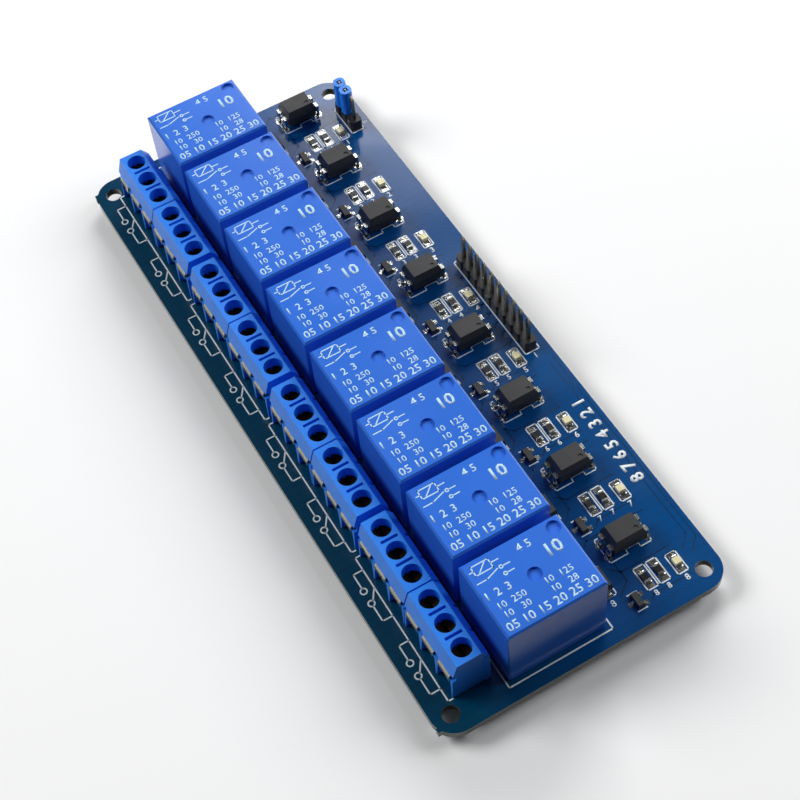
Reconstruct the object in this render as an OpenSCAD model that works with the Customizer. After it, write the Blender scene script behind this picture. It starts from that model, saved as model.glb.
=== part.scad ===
// Eight channel relay module board.
// X runs along the board, Y from the screw terminals to the pin header, Z up.
// The origin is under the middle of the board, at the tips of the soldered leads.

/* [Board] */
// Length of the board along X
board_l = 140; // [134:1:170]
// Width of the board along Y
board_w = 57; // [56:0.5:72]
// Thickness of the board
board_t = 1.6; // [1:0.2:2.4]
// Radius of the board corners
board_r = 4.5; // [1:0.5:5]
// Diameter of the four mounting holes
mount_d = 3.2; // [2.5:0.1:3.5]
// Distance from the board ends to the mounting holes
mount_in_x = 3.75; // [3.5:0.25:5]
// Distance from the board sides to the mounting holes
mount_in_y = 3.5; // [3:0.25:4]

/* [Relays] */
// Relay width along X
relay_w = 15.4; // [14:0.1:15.8]
// Relay length along Y
relay_l = 19.1; // [18:0.1:19.6]
// Relay height above the board
relay_h = 15.4; // [12:0.1:19]
// Slope of each relay side from bottom to top
relay_draft = 0.15; // [0.05:0.05:0.4]
// Wall of the relay case around its base
relay_wall = 0.8; // [0.6:0.1:1.2]

/* [Screw terminals] */
// Distance from one pole to the next
pole_pitch = 5.08; // [5:0.02:5.2]
// Height of the housing above the board
terminal_h = 10.2; // [9.6:0.1:12.5]
// Width of the wire port
port_w = 3.9; // [3.4:0.1:4.1]
// Height of the top edge of the wire port above the board
port_top = 6.8; // [6:0.1:7.2]
// Diameter of the screw wells
well_d = 3.6; // [3.2:0.1:4]
// Diameter of the screw shanks
shank_d = 2.5; // [2:0.1:2.6]

/* [Pin headers] */
// Pins in the control header
control_pins = 10; // [4:1:12]
// Distance from one header pin to the next
pin_pitch = 2.54; // [2.5:0.02:2.6]
// Side of the square header pins
pin_sq = 0.64; // [0.5:0.02:0.7]
// Height of the header pins above the board
pin_h = 8.5; // [7.5:0.1:11]
// Height of the plastic header bodies
header_h = 2.5; // [2:0.1:3]

/* [Fits] */
// Depth of the longest solder tails below the board
tail = 2; // [1.6:0.1:3]
// Clearance all round a lead in its board hole
hole_clear = 0.15; // [0.1:0.05:0.25]
// Clearance between a screw head and its well
head_clear = 0.1; // [0.05:0.05:0.2]
// Clearance between the jumper contact and the pins
contact_clear = 0.08; // [0.04:0.02:0.1]

/* [Hidden] */
$fn = 48;
eps = 0.5;
channels = 8;

// Heights
top = tail + board_t;
low_tail = 0.5;

// Width of the broken-off tabs at two corners of the board
nub = 0.8;

// Rows across the board
terminal_y = 8.95 - board_w / 2;
relay_y = terminal_y + 15.13;
header_y = board_w / 2 - 3.4;
logic_y = relay_y + 20.92;

// Columns along the board
relay_pitch = (board_l - 4.8) / channels;
logic_x = 4.3;

// Relay parts
relay_r = 0.6;
relay_edge = 0.35;
relay_lift = 0.3;
base_t = 1.2;
base_l = relay_l - 2 * relay_wall;
base_w = relay_w - 2 * relay_wall;
foot = 1.6;
dimple_r = 1.3;
dimple_depth = 0.5;
coil_pin = 0.6;
contact_pin = [1, 0.5];
pin_bite = 0.8;
relay_pin_list = [
    [[0, 8.2], contact_pin],
    [[-6, 6.2], [coil_pin, coil_pin]],
    [[6, 6.2], [coil_pin, coil_pin]],
    [[-6, -6], contact_pin],
    [[6, -6], contact_pin],
];

// Screw terminal parts, measured from the screw axis and from the board
poles = 3;
seam = 0.3;
pair_gap = 1.45;
block_l = poles * pole_pitch + 0.16;
pair_pitch = 2 * block_l + seam + pair_gap;
front = -3.75;
hood = -3.45;
brow = -2.45;
crown = 2.15;
shoulder = 3.5;
back = 3.65;
shoulder_h = terminal_h - 1.9;
port_floor = 1.4;
port_back = 2.2;
frame_l = 4;
frame_wall = 0.6;
frame_roof = 1.2;
frame_top = port_top - 0.2;
leaf_t = 0.3;
nose_w = port_w - 0.5;
tongue_w = port_w - 2 * frame_wall - 0.3;
head_h = 1.1;
head_z = frame_top + 0.2;
shank_end = frame_top - frame_roof - 0.2;
mouth_flare = 0.42;
mouth_back = -2.6;
slot_w = 0.55;
rib_t = 0.15;
terminal_tail = [1, 0.8];

// Optocoupler parts
opto_row = 3.81;
opto_w = 4.6;
opto_l = 6.5;
opto_h = 4.7;
opto_lead_z = 2.9;
opto_lead_t = 0.25;
opto_lead_w = [1.2, 0.5];

// Jumper parts
jumper_l = 5;
jumper_w = 2.4;
jumper_h = pin_h - header_h;
jumper_x = 12.2 - board_l / 2;

function relay_x(i) = (i - (channels + 1) / 2) * relay_pitch - 0.35;
function block_x(i) = floor((i - 1) / 2) * pair_pitch + ((i - 1) % 2) * (block_l + seam)
    - 1.5 * pair_pitch - (block_l + seam) / 2 - 0.4;
function pole_x(i, p) = block_x(i) + (p - (poles - 1) / 2) * pole_pitch;
function header_x(p) = (p - (control_pins - 1) / 2) * pin_pitch - 0.45;
function jumper_pin_x(p) = jumper_x + (p - 1) * pin_pitch;

// Outline with sloped sides and chamfered top edges, from the bottom up
function drafted(w, h, draft, edge) = [
    [-w / 2, 0],
    [w / 2, 0],
    [w / 2 - draft, h - edge],
    [w / 2 - draft - edge, h],
    [draft + edge - w / 2, h],
    [draft - w / 2, h - edge],
];

// Outline of a moulded package, widest in a band around its leads
function package(w_bottom, w_mid, w_top, z_bottom, z_low, z_high, z_top) = [
    [-w_bottom / 2, z_bottom],
    [w_bottom / 2, z_bottom],
    [w_mid / 2, z_low],
    [w_mid / 2, z_high],
    [w_top / 2, z_top],
    [-w_top / 2, z_top],
    [-w_mid / 2, z_high],
    [-w_mid / 2, z_low],
];

module rounded_rect(size_x, size_y, r) {
    square([size_x - 2 * r, size_y], center = true);
    square([size_x, size_y - 2 * r], center = true);
    for (sx = [-1, 1], sy = [-1, 1])
        translate([sx * (size_x / 2 - r), sy * (size_y / 2 - r)])
            circle(r = r);
}

// Extrude a (Y, Z) outline along X
module along_x(length) {
    rotate([90, 0, 90])
        linear_extrude(length, center = true)
            children();
}

// Extrude an (X, Z) outline along Y
module along_y(length) {
    rotate([90, 0, 0])
        linear_extrude(length, center = true)
            children();
}

// Block between two heights, centred on X and Y
module bar(size, z_low, z_high) {
    translate([-size[0] / 2, -size[1] / 2, z_low])
        cube([size[0], size[1], z_high - z_low]);
}

module lead_hole(width) {
    cylinder(d = width + 2 * hole_clear, h = board_t + 2 * eps);
}

module circuit_board() {
    color("midnightblue")
        difference() {
            translate([0, 0, tail])
                linear_extrude(board_t) {
                    rounded_rect(board_l, board_w, board_r);
                    for (sx = [-1, 1])
                        translate([sx * (board_l / 2 - 2.4) - nub / 2, 0.05 - board_w / 2])
                            square([nub, 2]);
                }
            translate([0, 0, tail - eps]) {
                for (sx = [-1, 1], sy = [-1, 1])
                    translate([sx * (board_l / 2 - mount_in_x), sy * (board_w / 2 - mount_in_y), 0])
                        cylinder(d = mount_d, h = board_t + 2 * eps);
                for (i = [1:channels]) {
                    for (pin = relay_pin_list)
                        translate([relay_x(i) + pin[0][0], relay_y + pin[0][1], 0])
                            lead_hole(norm(pin[1]));
                    for (p = [0:poles - 1])
                        translate([pole_x(i, p), terminal_y, 0])
                            lead_hole(norm(terminal_tail));
                    for (sx = [-1, 1], sy = [-1, 1])
                        translate([relay_x(i) - logic_x + sx * pin_pitch / 2, logic_y + sy * opto_row, 0])
                            lead_hole(norm([opto_lead_w[1], opto_lead_t]));
                }
                for (p = [0:control_pins - 1])
                    translate([header_x(p), header_y, 0])
                        lead_hole(norm([pin_sq, pin_sq]));
                for (p = [0:2])
                    translate([jumper_pin_x(p), header_y, 0])
                        lead_hole(norm([pin_sq, pin_sq]));
            }
        }
}

module relay_cover(i) {
    case_h = relay_h - relay_lift;
    color("royalblue")
        translate([relay_x(i), relay_y, top + relay_lift])
            difference() {
                intersection() {
                    along_x(relay_w + 1)
                        polygon(drafted(relay_l, case_h, relay_draft, relay_edge));
                    along_y(relay_l + 1)
                        polygon(drafted(relay_w, case_h, relay_draft, relay_edge));
                    linear_extrude(case_h)
                        rounded_rect(relay_w, relay_l, relay_r);
                }
                bar([base_w, base_l], -eps, base_t);
                translate([0, 0.4, case_h - dimple_depth])
                    cylinder(r = dimple_r, h = 1);
                translate([2.1 - relay_w / 2, relay_l / 2 - 2, case_h - dimple_depth])
                    cylinder(r = dimple_r, h = 1);
            }
}

module relay_pin_set(z_low, z_high) {
    for (pin = relay_pin_list)
        translate([pin[0][0], pin[0][1], 0])
            bar(pin[1], z_low, z_high);
}

module relay_base(i) {
    color("darkslateblue")
        translate([relay_x(i), relay_y, 0])
            difference() {
                union() {
                    bar([base_w, base_l], top + relay_lift, top + relay_lift + base_t);
                    for (sx = [-1, 1], sy = [-1, 1])
                        translate([sx * (base_w - foot) / 2, sy * (base_l - foot) / 2, 0])
                            bar([foot, foot], top, top + relay_lift);
                }
                relay_pin_set(top - eps, top + relay_lift + pin_bite);
            }
}

module relay_pins() {
    color("silver")
        for (i = [1:channels])
            translate([relay_x(i), relay_y, 0])
                relay_pin_set(0, top + relay_lift + pin_bite);
}

// Side outline of the terminal housing
function housing_outline() = [
    [front, 0],
    [back, 0],
    [shoulder, shoulder_h],
    [crown, terminal_h],
    [brow, terminal_h],
    [hood, port_top],
];

// Rib up the back of the end face
function rib_outline() = [
    [shoulder - 0.9, 0],
    [back, 0],
    [shoulder, shoulder_h],
    [shoulder - 0.9, shoulder_h],
];

// One wire port with its mouth open to the board, its screw well and its tail hole
module pole_cut() {
    half = port_w / 2;
    along_x(port_w)
        polygon([
            [front - eps, port_floor],
            [port_back, port_floor],
            [port_back, port_top],
            [front - eps, port_top],
        ]);
    translate([0, (front - eps + mouth_back) / 2, 0])
        along_y(mouth_back - front + eps)
            polygon([
                [-half - mouth_flare, -eps],
                [half + mouth_flare, -eps],
                [half, port_top - 1.2],
                [-half, port_top - 1.2],
            ]);
    translate([0, 0, port_top - eps])
        cylinder(d = well_d, h = terminal_h);
    bar(terminal_tail, -eps, port_floor + eps);
}

// Small notch under the hood at a pole boundary
module hood_notch() {
    translate([-0.6, front - eps, port_top - 1.2])
        cube([1.2, eps + 1, 1.5]);
}

module terminal_housing(i) {
    color("dodgerblue")
        translate([block_x(i), terminal_y, top])
            difference() {
                union() {
                    along_x(block_l)
                        polygon(housing_outline());
                    translate([block_l / 2, 0, 0])
                        along_x(2 * rib_t)
                            polygon(rib_outline());
                }
                for (p = [0:poles - 1])
                    translate([(p - (poles - 1) / 2) * pole_pitch, 0, 0])
                        pole_cut();
                for (p = [1:poles - 1])
                    translate([(p - poles / 2) * pole_pitch, 0, 0]) {
                        translate([-slot_w / 2, -1.55, terminal_h - 1.4])
                            cube([slot_w, 3.2, 2]);
                        translate([-slot_w / 2, shoulder - 0.7, shoulder_h - 2.2])
                            cube([slot_w, 2, 3]);
                    }
                for (p = [0:poles])
                    translate([(p - poles / 2) * pole_pitch, 0, 0])
                        hood_notch();
            }
}

// Metal frame that the wire goes into, with its solder tail
module frame_solid() {
    difference() {
        bar([port_w, frame_l], port_floor, frame_top);
        bar([port_w - 2 * frame_wall, frame_l + 1], port_floor + frame_wall, frame_top - frame_roof);
        translate([0, 0, shank_end - eps])
            cylinder(d = shank_d, h = terminal_h);
    }
    bar(terminal_tail, -top, port_floor + frame_wall / 2);
}

// Sprung strip that the screw presses on the wire: a nose in the port mouth, folded
// back into a tongue under the roof of the frame
module leaf_solid() {
    edge = -frame_l / 2;
    nose = front + 0.05;
    roof = frame_top - frame_roof;
    lip = frame_top - 1.9;
    along_x(nose_w)
        polygon([
            [edge, frame_top],
            [nose + 0.45, frame_top],
            [nose, frame_top - 0.55],
            [nose, lip + 0.25],
            [nose + 0.25, lip],
            [edge, roof - 0.35],
            [edge, roof - 0.02],
            [nose + leaf_t, lip + 0.45],
            [nose + leaf_t, frame_top - 0.65],
            [nose + 0.5, frame_top - leaf_t],
            [edge, frame_top - leaf_t],
        ]);
    along_x(tongue_w)
        polygon([
            [edge - 0.1, roof - 0.34],
            [edge - 0.1, roof - 0.04],
            [1.2, roof - 0.8],
            [1.2, roof - 0.8 - leaf_t],
        ]);
}

module each_pole() {
    for (i = [1:channels], p = [0:poles - 1])
        translate([pole_x(i, p), terminal_y, top])
            children();
}

module terminal_frames() {
    color("silver")
        each_pole()
            frame_solid();
}

module terminal_leaves() {
    color("gainsboro")
        each_pole()
            leaf_solid();
}

module terminal_screws() {
    color("goldenrod")
        each_pole()
            difference() {
                union() {
                    translate([0, 0, shank_end])
                        cylinder(d = shank_d, h = head_z - shank_end + 0.1);
                    translate([0, 0, head_z])
                        cylinder(d = well_d - 2 * head_clear, h = head_h);
                }
                translate([-well_d / 2, -0.3, head_z + head_h - 0.6])
                    cube([well_d, 0.6, 1]);
            }
}

module optocoupler(i) {
    color("dimgray")
        translate([relay_x(i) - logic_x, logic_y, top])
            difference() {
                intersection() {
                    along_x(opto_w + 1)
                        polygon(package(5.9, opto_l, 5.4, 0.9, opto_lead_z - 0.3, opto_lead_z + 0.3, opto_h));
                    along_y(opto_l + 1)
                        polygon(package(4.1, opto_w, 3.7, 0.9, opto_lead_z - 0.3, opto_lead_z + 0.3, opto_h));
                }
                translate([1.1, 1.7, opto_h - 0.15])
                    cylinder(r = 0.45, h = 1);
            }
}

// Bent lead at the +Y side of the package
module opto_lead() {
    half_t = opto_lead_t / 2;
    translate([0, 0, opto_lead_z]) {
        translate([-opto_lead_w[0] / 2, opto_l / 2, -half_t])
            cube([opto_lead_w[0], opto_row + half_t - opto_l / 2, opto_lead_t]);
        translate([-opto_lead_w[0] / 2, opto_row - half_t, -2])
            cube([opto_lead_w[0], opto_lead_t, 2]);
    }
    translate([-opto_lead_w[1] / 2, opto_row - half_t, low_tail - top])
        cube([opto_lead_w[1], opto_lead_t, top - low_tail + 1.2]);
}

module optocoupler_leads() {
    color("gainsboro")
        for (i = [1:channels], sx = [-1, 1], side = [0, 180])
            translate([relay_x(i) - logic_x, logic_y, top])
                rotate([0, 0, side])
                    translate([sx * pin_pitch / 2, 0, 0])
                        opto_lead();
}

module transistor_place(i) {
    translate([relay_x(i) + 6.6, relay_y + 16.42, top])
        children();
}

module transistor(i) {
    color("black")
        transistor_place(i)
            intersection() {
                along_x(4)
                    polygon(package(1.2, 1.3, 1.1, 0.1, 0.45, 0.65, 1.05));
                along_y(4)
                    polygon(package(2.8, 2.9, 2.7, 0.1, 0.45, 0.65, 1.05));
            }
}

// Gull wing lead at the +Y side of a small package
module gull_lead(body_half, reach, width) {
    along_x(width)
        polygon([
            [body_half, 0.49],
            [body_half, 0.61],
            [body_half + 0.27, 0.61],
            [body_half + 0.4, 0.12],
            [reach, 0.12],
            [reach, 0],
            [body_half + 0.3, 0],
            [body_half + 0.17, 0.49],
        ]);
}

module transistor_leads() {
    color("silver")
        for (i = [1:channels])
            transistor_place(i) {
                for (sx = [-1, 1])
                    translate([sx * 0.95, 0, 0])
                        gull_lead(0.65, 1.25, 0.42);
                rotate([0, 0, 180])
                    gull_lead(0.65, 1.25, 0.42);
            }
}

module diode_place(i) {
    translate([relay_x(i) + 0.5, relay_y + 12.82, top])
        children();
}

module diodes() {
    color("black")
        for (i = [1:channels])
            diode_place(i)
                intersection() {
                    along_x(6)
                        polygon(package(2.4, 2.6, 2.3, 0.15, 1, 1.3, 2.1));
                    along_y(4)
                        polygon(package(4.1, 4.3, 3.9, 0.15, 1, 1.3, 2.1));
                }
}

module diode_tabs() {
    color("silver")
        for (i = [1:channels], side = [0, 180])
            diode_place(i)
                rotate([0, 0, side])
                    along_y(1.4)
                        polygon([
                            [2.15, 1.08],
                            [2.15, 1.23],
                            [2.6, 1.23],
                            [2.6, 0],
                            [1.4, 0],
                            [1.4, 0.15],
                            [2.45, 0.15],
                            [2.45, 1.08],
                        ]);
}

// Chip part body between its two metal ends
module chip_body(length, width, height, end) {
    bar([length - 2 * end, width], 0.05, height);
}

module chip_ends(length, width, height, end) {
    for (sx = [-1, 1])
        translate([sx * (length - end) / 2, 0, 0])
            bar([end, width], 0, height);
}

module resistor_place() {
    for (i = [1:channels], row = [0, 1])
        translate([relay_x(i) + 3.6, relay_y + 20.02 + row * 2.8, top])
            children();
}

module resistors() {
    color("black")
        resistor_place()
            chip_body(2, 1.25, 0.5, 0.35);
}

module resistor_ends() {
    color("silver")
        resistor_place()
            chip_ends(2, 1.25, 0.55, 0.35);
}

module led_place() {
    for (i = [1:channels])
        translate([relay_x(i) + 3.95, relay_y + 26.22, top])
            children();
}

module status_leds() {
    color("ivory")
        led_place() {
            chip_body(2, 1.25, 0.4, 0.3);
            bar([1.3, 1.25], 0.4, 0.8);
        }
}

module status_led_ends() {
    color("silver")
        led_place()
            chip_ends(2, 1.25, 0.4, 0.3);
}

// Square pin with a tapered tip
module header_pin() {
    point = pin_sq / 2 - 0.15;
    intersection() {
        along_x(pin_sq)
            pin_outline(point);
        along_y(pin_sq)
            pin_outline(point);
    }
}

module pin_outline(point) {
    half = pin_sq / 2;
    polygon([
        [-half, low_tail - top],
        [half, low_tail - top],
        [half, pin_h - 0.6],
        [half - point, pin_h],
        [point - half, pin_h],
        [-half, pin_h - 0.6],
    ]);
}

// One cell of a header body, with its corners cut back
module header_cell() {
    half = pin_pitch / 2;
    cut = 0.45;
    difference() {
        linear_extrude(header_h)
            polygon([
                [-half, cut - half], [cut - half, -half], [half - cut, -half], [half, cut - half],
                [half, half - cut], [half - cut, half], [cut - half, half], [-half, half - cut],
            ]);
        bar([pin_sq, pin_sq], -eps, header_h + eps);
    }
}

module control_header_body() {
    color("black")
        for (p = [0:control_pins - 1])
            translate([header_x(p), header_y, top])
                header_cell();
}

module control_header_pins() {
    color("silver")
        for (p = [0:control_pins - 1])
            translate([header_x(p), header_y, top])
                header_pin();
}

module jumper_header_body() {
    color("black")
        for (p = [0:2])
            translate([jumper_pin_x(p), header_y, top])
                header_cell();
}

module jumper_header_pins() {
    color("silver")
        for (p = [0:2])
            translate([jumper_pin_x(p), header_y, top])
                header_pin();
}

// The cap stands on the header body, over the first two pins
module jumper_place() {
    translate([jumper_pin_x(0) + pin_pitch / 2, header_y, top + header_h])
        children();
}

module jumper_cap() {
    lobe = jumper_l - pin_pitch;
    color("deepskyblue")
        jumper_place()
            difference() {
                union() {
                    for (sx = [-1, 1])
                        translate([sx * pin_pitch / 2, 0, 0])
                            linear_extrude(jumper_h)
                                rounded_rect(lobe, jumper_w, 1);
                    bar([pin_pitch, jumper_w - 0.7], 0, jumper_h - 0.9);
                }
                bar([pin_pitch + 1.5, 1.4], -eps, jumper_h - 1.3);
                for (sx = [-1, 1])
                    translate([sx * pin_pitch / 2, 0, 0])
                        bar([1, 1], 1, jumper_h + eps);
            }
}

module jumper_contact() {
    gap = pin_sq + 2 * contact_clear;
    color("gold")
        jumper_place()
            difference() {
                bar([pin_pitch + 1.5, 1.4], 0.4, jumper_h - 1.3);
                for (sx = [-1, 1])
                    translate([sx * pin_pitch / 2, 0, 0])
                        bar([gap, gap], 0, jumper_h);
            }
}

module solder_cone(r, lead) {
    difference() {
        translate([0, 0, tail - 0.9])
            cylinder(r1 = r / 2, r2 = r, h = 0.9);
        bar(lead, 0, top);
    }
}

module solder_joints() {
    color("lightgray") {
        for (i = [1:channels]) {
            for (pin = relay_pin_list)
                translate([relay_x(i) + pin[0][0], relay_y + pin[0][1], 0])
                    solder_cone(1.3, pin[1]);
            for (p = [0:poles - 1])
                translate([pole_x(i, p), terminal_y, 0])
                    solder_cone(1.4, terminal_tail);
            for (sx = [-1, 1], sy = [-1, 1])
                translate([relay_x(i) - logic_x + sx * pin_pitch / 2, logic_y + sy * opto_row, 0])
                    solder_cone(0.9, [opto_lead_w[1], opto_lead_t]);
        }
        for (p = [0:control_pins - 1])
            translate([header_x(p), header_y, 0])
                solder_cone(0.95, [pin_sq, pin_sq]);
        for (p = [0:2])
            translate([jumper_pin_x(p), header_y, 0])
                solder_cone(0.95, [pin_sq, pin_sq]);
    }
}

circuit_board();
relay_cover(1);  // relay_cover_1
relay_cover(2);  // relay_cover_2
relay_cover(3);  // relay_cover_3
relay_cover(4);  // relay_cover_4
relay_cover(5);  // relay_cover_5
relay_cover(6);  // relay_cover_6
relay_cover(7);  // relay_cover_7
relay_cover(8);  // relay_cover_8
relay_base(1);  // relay_base_1
relay_base(2);  // relay_base_2
relay_base(3);  // relay_base_3
relay_base(4);  // relay_base_4
relay_base(5);  // relay_base_5
relay_base(6);  // relay_base_6
relay_base(7);  // relay_base_7
relay_base(8);  // relay_base_8
relay_pins();
terminal_housing(1);  // terminal_housing_1
terminal_housing(2);  // terminal_housing_2
terminal_housing(3);  // terminal_housing_3
terminal_housing(4);  // terminal_housing_4
terminal_housing(5);  // terminal_housing_5
terminal_housing(6);  // terminal_housing_6
terminal_housing(7);  // terminal_housing_7
terminal_housing(8);  // terminal_housing_8
terminal_frames();
terminal_leaves();
terminal_screws();
optocoupler(1);  // optocoupler_1
optocoupler(2);  // optocoupler_2
optocoupler(3);  // optocoupler_3
optocoupler(4);  // optocoupler_4
optocoupler(5);  // optocoupler_5
optocoupler(6);  // optocoupler_6
optocoupler(7);  // optocoupler_7
optocoupler(8);  // optocoupler_8
optocoupler_leads();
transistor(1);  // transistor_1
transistor(2);  // transistor_2
transistor(3);  // transistor_3
transistor(4);  // transistor_4
transistor(5);  // transistor_5
transistor(6);  // transistor_6
transistor(7);  // transistor_7
transistor(8);  // transistor_8
transistor_leads();
diodes();
diode_tabs();
resistors();
resistor_ends();
status_leds();
status_led_ends();
control_header_body();
control_header_pins();
jumper_header_body();
jumper_header_pins();
jumper_cap();
jumper_contact();
solder_joints();
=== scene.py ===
"""Looks of an eight channel relay module board: materials, printing, pads, tracks and studio."""

import logging
import math
from dataclasses import dataclass, field
from enum import Enum

import bpy
from mathutils import Matrix, Vector


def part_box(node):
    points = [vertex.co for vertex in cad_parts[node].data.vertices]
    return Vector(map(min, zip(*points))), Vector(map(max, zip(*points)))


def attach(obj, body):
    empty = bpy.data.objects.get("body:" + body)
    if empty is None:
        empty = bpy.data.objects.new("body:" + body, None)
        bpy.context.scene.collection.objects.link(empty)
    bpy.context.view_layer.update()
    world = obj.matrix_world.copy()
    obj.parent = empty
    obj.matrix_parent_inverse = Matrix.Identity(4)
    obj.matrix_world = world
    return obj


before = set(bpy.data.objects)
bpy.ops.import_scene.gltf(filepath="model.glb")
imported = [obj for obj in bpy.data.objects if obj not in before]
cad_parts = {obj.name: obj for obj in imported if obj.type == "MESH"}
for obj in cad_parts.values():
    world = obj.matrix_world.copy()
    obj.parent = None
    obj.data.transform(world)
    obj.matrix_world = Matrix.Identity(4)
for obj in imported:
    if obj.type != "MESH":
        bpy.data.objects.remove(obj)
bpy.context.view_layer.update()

MM = 0.001
CHANNELS = 8
BOARD_BODY = "board"
JUMPER_BODY = "jumper"

log = logging.getLogger("relay_module")


def linear(code: str, alpha: float = 1.0) -> tuple[float, float, float, float]:
    """Turns an sRGB hex colour to linear values.

    Args:
        code: The colour, such as "#1a2b3c".
        alpha: The fourth value.

    Returns:
        Red, green, blue and alpha.
    """
    values = [int(code[i : i + 2], 16) / 255 for i in (1, 3, 5)]
    red, green, blue = (v / 12.92 if v <= 0.04045 else ((v + 0.055) / 1.055) ** 2.4 for v in values)
    return (red, green, blue, alpha)


def add_node(tree: bpy.types.NodeTree, kind: str, inputs: dict | None = None, **settings: object) -> bpy.types.Node:
    """Adds a shader node with its settings, values and links.

    Args:
        tree: The node tree.
        kind: The node's type name.
        inputs: Socket name or number to a value, or to an output socket to link from.
        **settings: Attributes of the node.

    Returns:
        The new node.
    """
    node = tree.nodes.new(kind)
    for name, value in settings.items():
        setattr(node, name, value)
    for key, value in (inputs or {}).items():
        if isinstance(value, bpy.types.NodeSocket):
            tree.links.new(value, node.inputs[key])
        else:
            node.inputs[key].default_value = value
    return node


# ---------------------------------------------------------------- finishes


@dataclass(frozen=True)
class Finish:
    """A surface: its colour, its gloss, its slow colour drift and its fine grain."""

    name: str
    colour: str
    roughness: float
    metallic: float = 0.0
    ior: float = 1.5
    coat: float = 0.0
    drift_mm: float = 6.0
    drift: float = 0.08
    grain_mm: float = 0.25
    grain_height_mm: float = 0.004
    gloss_drift: float = 0.06

    def tint(self, tree: bpy.types.NodeTree, coords: bpy.types.NodeSocket) -> bpy.types.NodeSocket:
        """Makes the colour with its slow drift from lighter to darker.

        Args:
            tree: The material's node tree.
            coords: Object coordinates.

        Returns:
            The colour socket.
        """
        noise = add_node(tree, "ShaderNodeTexNoise", {"Vector": coords, "Scale": 1 / (self.drift_mm * MM), "Detail": 3.0})
        spread = add_node(
            tree,
            "ShaderNodeMapRange",
            {"Value": noise.outputs["Fac"], "From Min": 0.3, "From Max": 0.7, "To Min": 1 - self.drift, "To Max": 1 + self.drift},
        )
        shade = add_node(tree, "ShaderNodeHueSaturation", {"Color": linear(self.colour), "Value": spread.outputs["Result"]})
        return shade.outputs["Color"]

    def build(self) -> bpy.types.Material:
        """Builds the material.

        Returns:
            The material, with its colour drift, gloss drift and grain.
        """
        material = bpy.data.materials.new(self.name)
        material.use_nodes = True
        tree = material.node_tree
        shader = tree.nodes["Principled BSDF"]
        coords = add_node(tree, "ShaderNodeTexCoord").outputs["Object"]
        tree.links.new(self.tint(tree, coords), shader.inputs["Base Color"])
        gloss = add_node(tree, "ShaderNodeTexNoise", {"Vector": coords, "Scale": 1 / (2.2 * self.drift_mm * MM), "Detail": 2.0})
        rough = add_node(
            tree,
            "ShaderNodeMapRange",
            {
                "Value": gloss.outputs["Fac"],
                "From Min": 0.3,
                "From Max": 0.7,
                "To Min": max(0.02, self.roughness - self.gloss_drift),
                "To Max": min(1.0, self.roughness + self.gloss_drift),
            },
        )
        tree.links.new(rough.outputs["Result"], shader.inputs["Roughness"])
        shader.inputs["Metallic"].default_value = self.metallic
        if self.metallic == 0.0:
            shader.inputs["IOR"].default_value = self.ior
        shader.inputs["Coat Weight"].default_value = self.coat
        grain = add_node(tree, "ShaderNodeTexNoise", {"Vector": coords, "Scale": 1 / (self.grain_mm * MM), "Detail": 2.0})
        bump = add_node(
            tree,
            "ShaderNodeBump",
            {"Height": grain.outputs["Fac"], "Strength": 1.0, "Distance": self.grain_height_mm * MM},
        )
        tree.links.new(bump.outputs["Normal"], shader.inputs["Normal"])
        return material


@dataclass(frozen=True)
class Laminate(Finish):
    """Glass-epoxy board: blue solder mask on both faces, bare routed glass and resin on the edges."""

    edge_colour: str = "#4a4436"
    rim_colour: str = "#5d7670"
    top_mm: float = 3.6
    weave_mm: float = 0.9

    def tint(self, tree: bpy.types.NodeTree, coords: bpy.types.NodeSocket) -> bpy.types.NodeSocket:
        """Makes the mask colour on the faces and the routed edge colour on the sides.

        Args:
            tree: The material's node tree.
            coords: Object coordinates.

        Returns:
            The colour socket.
        """
        mask = Finish.tint(self, tree, coords)
        place = add_node(tree, "ShaderNodeSeparateXYZ", {"Vector": coords})
        # the mask is mixed towards a darker, greener blue on the terminal side
        side = add_node(
            tree,
            "ShaderNodeMapRange",
            {"Value": place.outputs["Y"], "From Min": -22 * MM, "From Max": 2 * MM, "To Min": 1.0, "To Max": 0.0},
        )
        strip = add_node(
            tree,
            "ShaderNodeMix",
            {0: side.outputs["Result"], 6: mask, 7: linear("#003c58")},
            data_type="RGBA",
        )
        # under the mask the glass cloth shows faintly
        weave = add_node(tree, "ShaderNodeTexWave", {"Vector": coords, "Scale": 1 / (self.weave_mm * MM) / 6.3, "Distortion": 0.4})
        cloth = add_node(
            tree,
            "ShaderNodeMapRange",
            {"Value": weave.outputs["Fac"], "To Min": 0.97, "To Max": 1.03},
        )
        face = add_node(tree, "ShaderNodeHueSaturation", {"Color": strip.outputs[2], "Value": cloth.outputs["Result"]})
        layers = add_node(
            tree,
            "ShaderNodeMapRange",
            {"Value": place.outputs["Z"], "From Min": (self.top_mm - 0.45) * MM, "From Max": (self.top_mm - 0.25) * MM},
        )
        edge = add_node(
            tree,
            "ShaderNodeMix",
            {0: layers.outputs["Result"], 6: linear(self.edge_colour), 7: linear(self.rim_colour)},
            data_type="RGBA",
        )
        normal = add_node(tree, "ShaderNodeSeparateXYZ", {"Vector": add_node(tree, "ShaderNodeNewGeometry").outputs["Normal"]})
        upright = add_node(tree, "ShaderNodeMath", {0: normal.outputs["Z"]}, operation="ABSOLUTE")
        is_face = add_node(tree, "ShaderNodeMath", {0: upright.outputs[0], 1: 0.6}, operation="GREATER_THAN")
        both = add_node(
            tree,
            "ShaderNodeMix",
            {0: is_face.outputs[0], 6: edge.outputs[2], 7: face.outputs["Color"]},
            data_type="RGBA",
        )
        return both.outputs[2]


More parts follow.
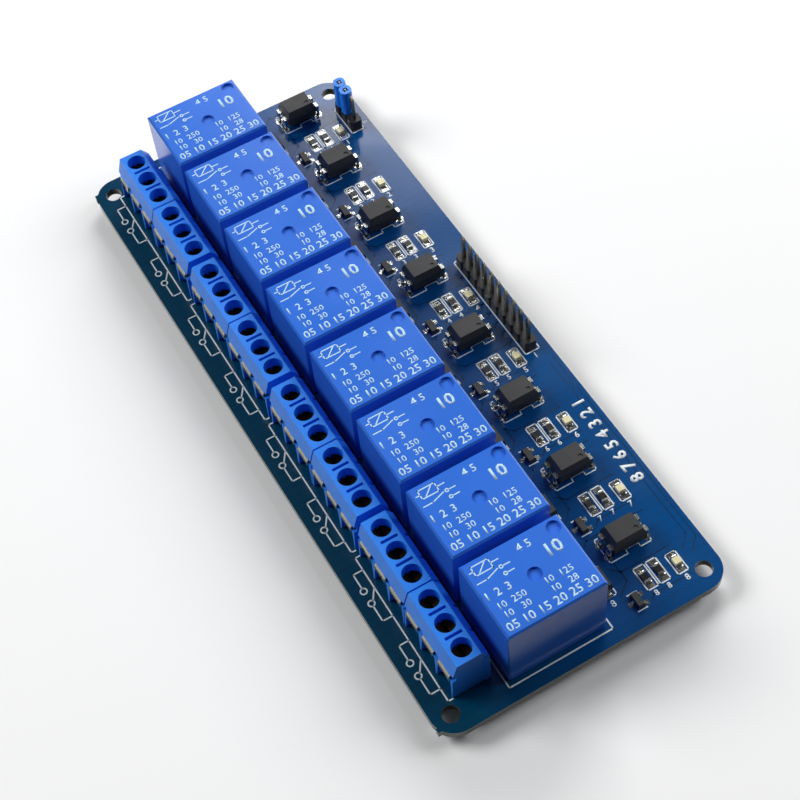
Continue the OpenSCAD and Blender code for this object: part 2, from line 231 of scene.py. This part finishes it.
# solder mask over glass-epoxy laminate, screen printed: glossy with a faint cloth under it
LAMINATE = Laminate("board_solder_mask", "#004680", 0.2, ior=1.5, coat=0.15, drift_mm=9, drift=0.06, grain_mm=0.6, grain_height_mm=0.003)
# copper track under solder mask: the same lacquer, a shade darker at its clearances
TRACK_GAP = Finish("mask_over_clearance", "#003158", 0.25, coat=0.2, drift_mm=5, drift=0.05)
TRACK_LIT = Finish("mask_over_copper", "#0a548c", 0.22, coat=0.25, drift_mm=5, drift=0.05)
# PBT relay case, injection moulded against a polished tool: glossy mid blue
RELAY_CASE = Finish("relay_pbt_blue", "#3373e0", 0.22, ior=1.55, coat=0.1, drift_mm=12, drift=0.04, grain_mm=0.5, grain_height_mm=0.002)
# relay base under the case: painted a dark navy, far darker than the case's blue, as painted shade at the foot of each
# relay
RELAY_BASE_PAINTED_SHADE = Finish("relay_base_pbt_painted_shade", "#123b7c", 0.45, drift_mm=5, drift=0.08)
# polyamide terminal housing, moulded with a fine spark finish: brighter, a little softer
TERMINAL_CASE = Finish("terminal_polyamide_blue", "#2886f6", 0.34, ior=1.53, drift_mm=6, drift=0.05, grain_mm=0.18, grain_height_mm=0.004)
JUMPER_CASE = Finish("jumper_pbt_blue", "#0a7fe6", 0.28, drift_mm=3, drift=0.06)
# white epoxy ink, screen printed: matte, with slightly uneven cover
INK = Finish("screen_printed_ink", "#e4eaea", 0.6, drift_mm=0.8, drift=0.1, grain_mm=0.12, grain_height_mm=0.006)
# pad printed ink on the relay cases lets a little blue through
CASE_INK = Finish("pad_printed_ink", "#bfe0fa", 0.5, drift_mm=0.7, drift=0.1, grain_mm=0.12, grain_height_mm=0.004)
# epoxy moulding compound of the chips: dark grey, silica filled, dull
EPOXY = Finish("epoxy_moulding_compound", "#2a2a2b", 0.55, drift_mm=2.5, drift=0.15, grain_mm=0.12, grain_height_mm=0.008)
RESISTOR_GLAZE = Finish("resistor_glaze", "#17171a", 0.3, drift_mm=1, drift=0.15)
# hot-dipped tin on leads: bright with slow waves from the bath
TIN = Finish("hot_dipped_tin", "#c9cac6", 0.24, metallic=1.0, drift_mm=1.2, drift=0.1, grain_mm=0.35, grain_height_mm=0.02)
SOLDER = Finish("tin_solder", "#d2d3cf", 0.18, metallic=1.0, drift_mm=0.8, drift=0.12, grain_mm=0.6, grain_height_mm=0.06)
NICKEL = Finish("nickel_plate", "#cfc9b4", 0.25, metallic=1.0, drift_mm=2, drift=0.1, grain_mm=0.4, grain_height_mm=0.008)
# screw heads: their own brown brass colour, darkened further as painted shade of the deep wells they sit in
SCREW_BRASS_AND_WELL_SHADE = Finish("screw_brass_with_painted_well_shade", "#4a3a20", 0.42, metallic=1.0, drift_mm=1.1, drift=0.3, grain_mm=0.25, grain_height_mm=0.015)
PIN_METAL = Finish("plated_header_pin", "#8d8b80", 0.3, metallic=1.0, drift_mm=1.5, drift=0.15)
HEADER_CASE = Finish("header_pbt_black", "#141416", 0.5, drift_mm=2, drift=0.15)
CERAMIC = Finish("led_ceramic", "#e8e4c8", 0.35, drift_mm=1, drift=0.06)
LENS = Finish("led_lens_resin", "#efe7b8", 0.15, coat=0.4, drift_mm=0.9, drift=0.12)


class Slot(Enum):
    """Names of material slots; no piece in this script takes its finish from them."""

    BOARD = "board"
    TINNED = "tinned"
    SOLDER = "solder"
    RELAY = "relay_blue"
    LENS = "led_cream"


# ---------------------------------------------------------------- modelling by operator


def deselect() -> None:
    """Leaves edit mode and deselects everything."""
    if bpy.context.object and bpy.context.object.mode != "OBJECT":
        bpy.ops.object.mode_set(mode="OBJECT")
    bpy.ops.object.select_all(action="DESELECT")


def activate(*pieces: bpy.types.Object) -> None:
    """Selects these pieces alone, with the first one active."""
    deselect()
    for piece in pieces:
        piece.select_set(True)
    bpy.context.view_layer.objects.active = pieces[0]


def settle(piece: bpy.types.Object) -> None:
    """Moves a piece's place, turn and size into its mesh."""
    activate(piece)
    bpy.ops.object.transform_apply(location=True, rotation=True, scale=True)


def join(pieces: list[bpy.types.Object], name: str) -> bpy.types.Object:
    """Joins pieces into one, settled at the origin.

    Args:
        pieces: The pieces.
        name: The joined piece's name.

    Returns:
        The joined piece.
    """
    activate(*pieces)
    if len(pieces) > 1:
        bpy.ops.object.join()
    piece = bpy.context.view_layer.objects.active
    piece.name = piece.data.name = name
    settle(piece)
    return piece


def thicken(piece: bpy.types.Object, height: float) -> None:
    """Gives a flat piece its height above the face it lies on.

    Args:
        piece: A flat piece that faces up or down.
        height: The height in millimetres.
    """
    activate(piece)
    bpy.ops.object.modifier_add(type="SOLIDIFY")
    modifier = piece.modifiers[-1]
    modifier.thickness = height * MM
    modifier.offset = 1.0
    bpy.ops.object.modifier_apply(modifier=modifier.name)


def soften(piece: bpy.types.Object, width: float, segments: int = 2) -> None:
    """Rounds a piece's edges and shades it smooth.

    Args:
        piece: The piece.
        width: The rounding in millimetres.
        segments: Faces across each rounding.
    """
    activate(piece)
    bpy.ops.object.modifier_add(type="BEVEL")
    modifier = piece.modifiers[-1]
    modifier.width = width * MM
    modifier.segments = segments
    modifier.limit_method = "ANGLE"
    bpy.ops.object.modifier_apply(modifier=modifier.name)
    bpy.ops.object.shade_smooth_by_angle(angle=math.radians(40))


def copy_to(piece: bpy.types.Object, name: str, offset: Vector) -> bpy.types.Object:
    """Copies a piece with its own mesh.

    Args:
        piece: The piece to copy.
        name: The copy's name.
        offset: How far the copy lies from the first, in metres.

    Returns:
        The copy.
    """
    activate(piece)
    bpy.ops.object.duplicate(linked=False)
    twin = bpy.context.view_layer.objects.active
    twin.name = twin.data.name = name
    twin.location = offset
    settle(twin)
    return twin


def dress(piece: bpy.types.Object, material: bpy.types.Material, body: str = BOARD_BODY) -> None:
    """Gives a piece its material and the body it rides on.

    Args:
        piece: The piece.
        material: Its material.
        body: The CAD body.
    """
    piece.data.materials.clear()
    piece.data.materials.append(material)
    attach(piece, body)
    log.info("piece %s: %d faces, %s", piece.name, len(piece.data.polygons), material.name)


def middle(node: str) -> Vector:
    """The middle of a CAD node's box."""
    low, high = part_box(node)
    return (Vector(low) + Vector(high)) / 2


@dataclass
class Artwork:
    """Flat shapes on one face, gathered to be joined: strokes, patches, rings and plain numbers."""

    z: float
    parts: list[bpy.types.Object] = field(default_factory=list)

    def patch(self, x: float, y: float, size_x: float, size_y: float, turn: float = 0.0) -> None:
        """Adds a rectangle.

        Args:
            x: Its middle, in millimetres.
            y: Its middle, in millimetres.
            size_x: Its length before it is turned.
            size_y: Its width before it is turned.
            turn: Its turn in radians.
        """
        deselect()
        bpy.ops.mesh.primitive_plane_add(size=MM, location=(x * MM, y * MM, self.z), rotation=(0, 0, turn))
        plane = bpy.context.view_layer.objects.active
        plane.scale = (size_x, size_y, 1)
        self.parts.append(plane)

    def line(self, points: list[tuple[float, float]], width: float) -> None:
        """Adds a line through points, as one strip a segment.

        Args:
            points: The points in millimetres.
            width: The line's width in millimetres.
        """
        for (x0, y0), (x1, y1) in zip(points, points[1:]):
            length = math.hypot(x1 - x0, y1 - y0) + width
            self.patch((x0 + x1) / 2, (y0 + y1) / 2, length, width, math.atan2(y1 - y0, x1 - x0))

    def frame(self, x0: float, y0: float, x1: float, y1: float, width: float) -> None:
        """Adds the outline of a rectangle."""
        self.line([(x0, y0), (x1, y0), (x1, y1), (x0, y1), (x0, y0)], width)

    def ring(self, x: float, y: float, radius: float, width: float, corners: int = 20) -> None:
        """Adds a ring: a disc whose middle is inset and taken out.

        Args:
            x: The middle in millimetres.
            y: The middle in millimetres.
            radius: The outer radius.
            width: The ring's width.
            corners: Corners round it.
        """
        deselect()
        bpy.ops.mesh.primitive_circle_add(
            vertices=corners, radius=radius * MM, fill_type="NGON", location=(x * MM, y * MM, self.z)
        )
        disc = bpy.context.view_layer.objects.active
        bpy.ops.object.mode_set(mode="EDIT")
        bpy.ops.mesh.select_all(action="SELECT")
        bpy.ops.mesh.inset(thickness=width * MM)
        bpy.ops.mesh.delete(type="FACE")
        bpy.ops.object.mode_set(mode="OBJECT")
        self.parts.append(disc)

    def numbers(self, text: str, x: float, y: float, height: float, turn: float = 0.0, bold: float = 0.0) -> None:
        """Adds plain numbers.

        Args:
            text: Digits and spaces.
            x: The middle in millimetres.
            y: The middle in millimetres.
            height: The digits' height.
            turn: The turn in radians.
            bold: How much each stroke grows.
        """
        deselect()
        bpy.ops.object.text_add(radius=1, location=(x * MM, y * MM, self.z), rotation=(0, 0, turn))
        words = bpy.context.view_layer.objects.active
        words.data.body = text
        words.data.size = height * MM / 0.7
        words.data.align_x = "CENTER"
        words.data.align_y = "CENTER"
        words.data.resolution_u = 2
        words.data.offset = bold * MM
        bpy.ops.object.convert(target="MESH")
        self.parts.append(bpy.context.view_layer.objects.active)

    def finish(self, name: str, height: float) -> bpy.types.Object:
        """Joins the shapes and gives them their height.

        Args:
            name: The piece's name.
            height: Its height in millimetres.

        Returns:
            The piece.
        """
        piece = join(self.parts, name)
        thicken(piece, height)
        return piece


# ---------------------------------------------------------------- sub-assemblies


class Finishes:
    """The materials, each built once."""

    def __init__(self) -> None:
        """Starts with no material built."""
        self.built: dict[str, bpy.types.Material] = {}

    def get(self, finish: Finish) -> bpy.types.Material:
        """Builds a finish, or gives the one already built."""
        if finish.name not in self.built:
            self.built[finish.name] = finish.build()
        return self.built[finish.name]

    def paint(self, finish: Finish, *nodes: str) -> None:
        """Gives CAD nodes a finish.

        Args:
            finish: The finish.
            *nodes: The nodes' names.
        """
        for name in nodes:
            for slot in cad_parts[name].material_slots:
                slot.material = self.get(finish)
            log.info("node %s: %s", name, finish.name)


@dataclass
class Board:
    """The laminate with its tracks, pads and printed outlines."""

    finishes: Finishes
    ink_height: float = 0.03
    track_height: float = 0.012
    pad_height: float = 0.035
    line_w: float = 0.24

    def __post_init__(self) -> None:
        """Reads the heights of the board's faces."""
        low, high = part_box("circuit_board")
        self.top = high[2]
        self.under = low[2]
        self.half_l = high[0] / MM
        self.half_w = high[1] / MM

    def channel_x(self, number: int) -> float:
        """A channel's place along the board, in millimetres."""
        return middle(f"relay_cover_{number}").x / MM

    def build(self) -> None:
        """Builds and dresses everything on the board's own faces."""
        self.finishes.paint(LAMINATE, "circuit_board")
        self.print_channels()
        self.print_terminals()
        self.print_headers()
        self.lay_tracks()
        self.lay_pads()

    def print_channels(self) -> None:
        """Prints the part outlines of each channel, modelled once and copied."""
        art = Artwork(self.top)
        w = self.line_w
        # optocoupler outline with its pin 1 notch
        art.line([(-6.9, 12.3), (-6.9, 20.75), (-1.75, 20.75), (-1.75, 18.5)], w)
        art.line([(-1.75, 15.9), (-1.75, 12.3), (-6.9, 12.3)], w)
        art.line([(-1.75, 18.5), (-2.6, 18.5), (-2.6, 15.9), (-1.75, 15.9)], w * 0.8)
        # two resistors, the light and the diode
        art.frame(1.25, 14.7, 5.95, 16.85, w)
        art.frame(1.25, 17.25, 5.95, 19.3, w)
        art.frame(1.95, 20.75, 6.13, 22.84, w)
        art.frame(-2.6, 6.85, 3.55, 9.95, w)
        art.line([(2.3, 6.85), (2.3, 9.95)], w)
        # transistor outline
        art.line([(4.9, 11.1), (4.9, 12.9)], w)
        art.line([(8.3, 11.1), (8.3, 12.9)], w)
        first = art.finish("channel_print_1", self.ink_height)
        low = self.channel_x(1)
        copies = [copy_to(first, f"channel_print_{n}", Vector(((self.channel_x(n)) * MM, 0, 0))) for n in range(2, CHANNELS + 1)]
        first.location = Vector((low * MM, 0, 0))
        settle(first)
        for piece in [first, *copies]:
            dress(piece, self.finishes.get(INK))
        # the channel's plain number beside its parts
        for n in range(1, CHANNELS + 1):
            label = Artwork(self.top)
            x = self.channel_x(n)
            label.numbers(str(n), x + 4.9, 8.4, 1.3, math.pi / 2, 0.02)
            label.numbers(str(n), x + 7.0, 15.7, 1.1, math.pi / 2, 0.03)
            label.numbers(str(n), x + 7.0, 18.3, 1.1, math.pi / 2, 0.03)
            label.numbers(str(n), x + 7.3, 21.8, 1.2, math.pi / 2, 0.03)
            dress(label.finish(f"channel_number_{n}", self.ink_height), self.finishes.get(INK))

    def print_terminals(self) -> None:
        """Prints the line along each terminal pair and each block's contact diagram."""
        art = Artwork(self.top)
        w = 0.27
        blocks = [[v / MM for v in (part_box(f"terminal_housing_{n}")[0][0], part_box(f"terminal_housing_{n}")[1][0])] for n in range(1, CHANNELS + 1)]
        pole = 5.08
        for pair in range(0, CHANNELS, 2):
            start, end = blocks[pair][0], blocks[pair + 1][1]
            art.line([(start, -23.4), (start, -24.2), (end, -24.2), (end, -23.4)], w)
        for start, end in blocks:
            hole = (start + end) / 2 - pole
            art.line([(hole, -24.2), (hole, -26.1), (hole + 3.15, -26.1)], w)
            art.ring(hole + 3.7, -26.1, 0.72, w)
            art.line([(hole + 4.1, -24.3), (hole + 6.1, -25.65)], w)
            art.ring(hole + 6.4, -26.1, 0.72, w)
            art.line([(hole + 6.95, -26.1), (hole + 10.3, -26.1), (hole + 10.3, -24.2)], w)
        # the outline round the relays
        art.line([(65.4, 5.8), (67.4, 5.8), (67.4, -14.5), (-67.6, -14.5), (-67.6, 5.8), (-65.6, 5.8)], w)
        for n in range(1, CHANNELS):
            x = (self.channel_x(n) + self.channel_x(n + 1)) / 2
            art.line([(x - 1.2, 5.8), (x + 1.2, 5.8)], w)
            art.line([(x, 5.8), (x, 4.6)], w)
        dress(art.finish("terminal_print", self.ink_height), self.finishes.get(INK))

    def print_headers(self) -> None:
        """Prints the header outlines and plain numbers."""
        art = Artwork(self.top)
        w = self.line_w
        art.frame(-13.4, 23.6, 12.5, 26.6, w)
        art.frame(-61.8, 23.7, -53.8, 26.45, w)
        art.numbers("1", 13.6, 25.1, 1.3, math.pi / 2, 0.02)
        art.numbers("8 7 6 5 4 3 2 1", 36, 25.9, 2.4, math.pi, 0.09)
        art.numbers("1", -60.3, 27.4, 0.9)
        art.numbers("3", -55.3, 27.4, 0.9)
        dress(art.finish("header_print", self.ink_height), self.finishes.get(INK))

    def lay_tracks(self) -> None:
        """Lays the clearances that show as darker lines under the mask, and the tracks under the board."""
        gaps = Artwork(self.top)
        w = 0.28
        header = middle("control_header_pins").x / MM
        for n in range(1, CHANNELS + 1):
            x = self.channel_x(n)
            pin = header + (n - 4.5) * 2.54
            reach = x - 1.0
            side = 1 if reach > pin else -1
            low_lane = 10.2 + 0.55 * (abs(n - 4.5))
            gaps.line([(pin, 23.5), (pin, 22.9), (pin + side * 0.8, 22.1)], w)
            gaps.line([(x - 7.6, 22.6), (x - 7.6, 11.2), (x - 5.2, 8.8), (x - 3.0, 8.8)], w)
            gaps.line([(x + 6.9, 22.9), (x + 6.9, 15.2), (x + 7.7, 14.4)], w)
            gaps.line([(x - 1.1, 11.2), (x + 0.6, 12.9), (x + 0.6, 22.4)], w)
            gaps.line([(x + 4.4, 10.2), (x + 2.4, low_lane + 0.6), (x - 1.8, low_lane + 0.6)], w)
        for lane in (0.0, 1.2):
            gaps.line([(15.5 + lane, 27.6 - lane), (60.2 - lane, 27.6 - lane), (62.4 - lane, 25.4 - lane)], 0.2)
        dress(gaps.finish("mask_clearances", self.track_height), self.finishes.get(TRACK_GAP))
        under = Artwork(self.under - self.track_height * MM)
        for n in range(1, CHANNELS + 1):
            x = self.channel_x(n)
            low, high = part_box(f"terminal_housing_{n}")
            block = (low[0] + high[0]) / 2 / MM
            under.line([(block - 5.08, -19.55), (block - 5.08, -15), (x - 6, -12), (x - 6, -10.4)], 2.2)
            under.line([(block, -19.55), (block, -16.5), (x, -12.5), (x, 3.8)], 2.2)
            under.line([(block + 5.08, -19.55), (block + 5.08, -15), (x + 6, -12), (x + 6, -10.4)], 2.2)
            under.line([(x - 6, 1.8), (x - 6, 6.5), (x - 3, 9.5), (x - 3, 12.7)], 0.8)
            under.line([(x + 6, 1.8), (x + 6, 9.5)], 0.8)
            under.line([(x - 5.6, 20.3), (x - 5.6, 22.5), (x - 3, 23.2)], 0.5)
        dress(under.finish("under_tracks", self.track_height), self.finishes.get(TRACK_LIT))

    def lay_pads(self) -> None:
        """Lays the tinned pads: under the chip parts, and round the leads on both faces."""
        art = Artwork(self.top)
        for x in (1.95, 5.25):
            art.patch(x, 15.6, 1.15, 1.45)
            art.patch(x, 18.4, 1.15, 1.45)
        for x in (2.45, 5.45):
            art.patch(x, 21.8, 1.1, 1.45)
        for x in (-1.9, 2.9):
            art.patch(x, 8.4, 1.5, 1.9)
        for x, y in ((5.65, 13.2), (7.55, 13.2), (6.6, 10.8)):
            art.patch(x, y, 0.9, 0.95)
        for x in (-5.57, -3.03):
            for y in (12.69, 20.31):
                art.ring(x, y, 0.85, 0.4)
        first = art.finish("channel_pads_1", self.pad_height)
        copies = [copy_to(first, f"channel_pads_{n}", Vector((self.channel_x(n) * MM, 0, 0))) for n in range(2, CHANNELS + 1)]
        first.location = Vector((self.channel_x(1) * MM, 0, 0))
        settle(first)
        for piece in [first, *copies]:
            dress(piece, self.finishes.get(SOLDER))
        rings = Artwork(self.under - self.pad_height * MM)
        for n in range(1, CHANNELS + 1):
            x = self.channel_x(n)
            for dx, dy, r in ((0, 8.2, 1.7), (-6, 6.2, 1.5), (6, 6.2, 1.5), (-6, -6, 1.7), (6, -6, 1.7)):
                rings.ring(x + dx, -4.42 + dy, r, r - 0.8)
            low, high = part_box(f"terminal_housing_{n}")
            block = (low[0] + high[0]) / 2 / MM
            for dx in (-5.08, 0, 5.08):
                rings.ring(block + dx, -19.55, 1.8, 0.9)
            for dx in (-5.57, -3.03):
                for y in (12.69, 20.31):
                    rings.ring(x + dx, y, 1.0, 0.5)
        for p in range(10):
            rings.ring(-0.45 + (p - 4.5) * 2.54, 25.1, 1.05, 0.5)
        for p in range(3):
            rings.ring(-57.8 + (p - 1) * 2.54, 25.1, 1.05, 0.5)
        dress(rings.finish("under_pads", self.pad_height), self.finishes.get(TIN))


@dataclass
class Relays:
    """The relay cases with their printing, their bases and their pins."""

    finishes: Finishes
    ink_height: float = 0.012

    def build(self) -> None:
        """Dresses the relays and prints their tops."""
        for n in range(1, CHANNELS + 1):
            self.finishes.paint(RELAY_CASE, f"relay_cover_{n}")
            self.finishes.paint(RELAY_BASE_PAINTED_SHADE, f"relay_base_{n}")
        self.finishes.paint(TIN, "relay_pins")
        self.print_tops()

    def print_tops(self) -> None:
        """Prints a contact diagram and plain numbers on one case, and copies them to the rest."""
        # the ink lies just under the top of the CAD box, on the case
        art = Artwork(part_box("relay_cover_1")[1][2] - self.ink_height * MM * 0.5)
        quarter = math.pi / 2
        w = 0.22
        # coil and change-over contact, drawn as plain lines
        art.frame(-6.4, -7.8, -4.6, -4.6, w)
        art.line([(-5.5, -4.6), (-5.5, -3.2)], w)
        art.line([(-5.5, -7.8), (-5.5, -8.5)], w)
        art.line([(-6.2, -5.4), (-4.8, -7.0)], w)
        art.line([(-3.2, -8.4), (-3.2, -6.6), (-4.0, -4.2)], w)
        art.ring(-4.0, -3.5, 0.4, w)
        art.ring(-2.6, -3.5, 0.4, w)
        art.line([(-4.0, -3.1), (-4.0, -1.9)], w)
        art.line([(-2.6, -3.1), (-2.6, -1.9)], w)
        art.numbers("1", -0.4, -8.3, 1.5, quarter, 0.03)
        art.numbers("2", -0.4, -6.3, 1.5, quarter, 0.03)
        art.numbers("3", -0.4, -4.3, 1.5, quarter, 0.03)
        art.numbers("4 5", -5.3, 1.6, 1.5, quarter, 0.03)
        art.numbers("10", -2.4, 5.4, 2.4, quarter, 0.08)
        art.numbers("10  250", 2.0, -5.2, 1.25, quarter, 0.02)
        art.numbers("10   30", 3.8, -5.2, 1.25, quarter, 0.02)
        art.numbers("10  125", 2.1, 3.6, 1.25, quarter, 0.02)
        art.numbers("10   28", 3.9, 3.6, 1.25, quarter, 0.02)
        art.numbers("05 10 15 20 25 30", 5.95, 0.0, 1.62, quarter, 0.03)
        first = art.finish("case_print_1", self.ink_height)
        copies = []
        for n in range(2, CHANNELS + 1):
            place = middle(f"relay_cover_{n}")
            copies.append(copy_to(first, f"case_print_{n}", Vector((place.x, place.y, 0))))
        place = middle("relay_cover_1")
        first.location = Vector((place.x, place.y, 0))
        settle(first)
        for piece in [first, *copies]:
            dress(piece, self.finishes.get(CASE_INK))


@dataclass
class Terminals:
    """The screw terminal blocks."""

    finishes: Finishes

    def build(self) -> None:
        """Dresses the housings and their metal."""
        for n in range(1, CHANNELS + 1):
            self.finishes.paint(TERMINAL_CASE, f"terminal_housing_{n}")
        self.finishes.paint(NICKEL, "terminal_frames", "terminal_leaves")
        self.finishes.paint(SCREW_BRASS_AND_WELL_SHADE, "terminal_screws")


@dataclass
class Logic:
    """The optocouplers and the chip parts, with the solder at their ends."""

    finishes: Finishes

    def build(self) -> None:
        """Dresses the parts and adds their solder."""
        for n in range(1, CHANNELS + 1):
            self.finishes.paint(EPOXY, f"optocoupler_{n}", f"transistor_{n}")
        self.finishes.paint(EPOXY, "diodes")
        self.finishes.paint(RESISTOR_GLAZE, "resistors")
        self.finishes.paint(LENS, "status_leds")
        self.finishes.paint(TIN, "optocoupler_leads", "transistor_leads", "diode_tabs", "resistor_ends", "status_led_ends")
        self.finishes.paint(SOLDER, "solder_joints")
        self.add_fillets()

    def fillet(self, x: float, y: float, size: tuple[float, float, float], out: float) -> bpy.types.Object:
        """Models one solder fillet: a block whose top slopes away from the part and is softened.

        Args:
            x: Its middle in millimetres.
            y: Its middle in millimetres.
            size: Its length, width and height.
            out: 1 if it slopes towards +X, -1 towards -X.

        Returns:
            The fillet.
        """
        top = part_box("circuit_board")[1][2]
        deselect()
        bpy.ops.mesh.primitive_cube_add(size=MM, location=(x * MM, y * MM, top + size[2] / 2 * MM))
        block = bpy.context.view_layer.objects.active
        block.scale = size
        settle(block)
        for vertex in block.data.vertices:
            outer = (vertex.co.x - x * MM) * out > 0
            vertex.select = outer and vertex.co.z > top + size[2] * 0.5 * MM
        bpy.ops.object.mode_set(mode="EDIT")
        bpy.ops.mesh.select_mode(type="VERT")
        bpy.ops.transform.translate(value=(-out * size[0] * 0.45 * MM, 0, -size[2] * 0.35 * MM))
        bpy.ops.object.mode_set(mode="OBJECT")
        soften(block, min(size) * 0.25)
        return block

    def add_fillets(self) -> None:
        """Adds the fillets of one channel, and copies them to the rest."""
        parts = []
        for y in (15.6, 18.4):
            parts.append(self.fillet(4.85, y, (0.5, 1.3, 0.42), 1))
            parts.append(self.fillet(2.35, y, (0.5, 1.3, 0.42), -1))
        parts.append(self.fillet(5.2, 21.8, (0.5, 1.3, 0.36), 1))
        parts.append(self.fillet(2.7, 21.8, (0.5, 1.3, 0.36), -1))
        parts.append(self.fillet(3.35, 8.4, (0.55, 1.5, 0.6), 1))
        parts.append(self.fillet(-2.35, 8.4, (0.55, 1.5, 0.6), -1))
        first = join(parts, "chip_solder_1")
        xs = [middle(f"relay_cover_{n}").x for n in range(1, CHANNELS + 1)]
        copies = [copy_to(first, f"chip_solder_{n}", Vector((xs[n - 1], 0, 0))) for n in range(2, CHANNELS + 1)]
        first.location = Vector((xs[0], 0, 0))
        settle(first)
        for piece in [first, *copies]:
            dress(piece, self.finishes.get(SOLDER))


@dataclass
class Headers:
    """The pin headers and the jumper cap."""

    finishes: Finishes

    def build(self) -> None:
        """Dresses the headers and the cap."""
        self.finishes.paint(HEADER_CASE, "control_header_body", "jumper_header_body")
        self.finishes.paint(PIN_METAL, "control_header_pins", "jumper_header_pins")
        self.finishes.paint(JUMPER_CASE, "jumper_cap")
        self.finishes.paint(NICKEL, "jumper_contact")


@dataclass
class Studio:
    """Floor, light and camera."""

    floor_size: float = 6.0
    floor_colour: str = "#fafafa"
    floor_bounce: str = "#6a6a6c"
    top_power: float = 6.5
    back_power: float = 8.0
    side_power: float = 9.0
    room_light: float = 0.06
    lens: float = 75.655

    def build(self) -> None:
        """Sets up the floor, the lights, the world and the camera."""
        self.floor()
        self.lights()
        self.world()
        self.camera()

    def floor(self) -> None:
        """A plain sheet of white paper, which throws little of its light back up at the board."""
        deselect()
        bpy.ops.mesh.primitive_plane_add(size=self.floor_size, location=(0, 0, -0.0003))
        sheet = bpy.context.view_layer.objects.active
        sheet.name = sheet.data.name = "paper_floor"
        settle(sheet)
        material = bpy.data.materials.new("white_paper")
        material.use_nodes = True
        tree = material.node_tree
        shader = tree.nodes["Principled BSDF"]
        path = add_node(tree, "ShaderNodeLightPath")
        seen = add_node(
            tree, "ShaderNodeMath", {0: path.outputs["Is Camera Ray"], 1: path.outputs["Is Glossy Ray"]}, operation="MAXIMUM"
        )
        colour = add_node(
            tree,
            "ShaderNodeMix",
            {0: seen.outputs[0], 6: linear(self.floor_bounce), 7: linear(self.floor_colour)},
            data_type="RGBA",
        )
        tree.links.new(colour.outputs[2], shader.inputs["Base Color"])
        shader.inputs["Roughness"].default_value = 0.9
        shader.inputs["IOR"].default_value = 1.1
        sheet.data.materials.append(material)

    def lights(self) -> None:
        """Soft boxes overhead, behind and on the terminal side, clear of the flat faces' mirror direction."""
        for name, place, size, power in (
            ("top_box", (0.15, 0.95, 0.75), 0.6, self.top_power),
            ("back_box", (-0.75, 0.62, 0.6), 0.6, self.back_power),
            ("side_box", (-0.6, -0.68, 0.75), 0.5, self.side_power),
        ):
            deselect()
            bpy.ops.object.light_add(type="AREA", location=place)
            box = bpy.context.view_layer.objects.active
            box.name = name
            box.data.shape = "SQUARE"
            box.data.size = size
            box.data.energy = power
            box.rotation_euler = (-box.location).to_track_quat("-Z", "Y").to_euler()

    def world(self) -> None:
        """A dim grey room."""
        world = bpy.data.worlds.new("studio_room")
        bpy.context.scene.world = world
        world.use_nodes = True
        back = world.node_tree.nodes["Background"]
        back.inputs["Color"].default_value = linear("#e9eef4")
        back.inputs["Strength"].default_value = self.room_light

    def camera(self) -> None:
        """The camera, above the +X end on the terminal side."""
        data = bpy.data.cameras.new("camera")
        data.lens = self.lens
        data.sensor_width = 36.0
        camera = bpy.data.objects.new("camera", data)
        bpy.context.scene.collection.objects.link(camera)
        right = Vector((0.50007, 0.86321, -0.06930))
        up = Vector((-0.69857, 0.44939, 0.55681))
        out = Vector((0.51179, -0.23003, 0.82774))
        place = Vector((0.166156, -0.071985, 0.258423))
        turn = Matrix((right, up, out)).transposed().to_4x4()
        camera.matrix_world = Matrix.Translation(place) @ turn
        bpy.context.scene.camera = camera


def main() -> None:
    """Builds every sub-assembly."""
    logging.basicConfig(level=logging.INFO, format="%(name)s: %(message)s")
    scene = bpy.context.scene
    scene.view_settings.view_transform = "Standard"
    finishes = Finishes()
    for part in (Board(finishes), Relays(finishes), Terminals(finishes), Logic(finishes), Headers(finishes), Studio()):
        part.build()
        log.info("built %s", type(part).__name__)
    deselect()


if __name__ == "__main__":
    main()
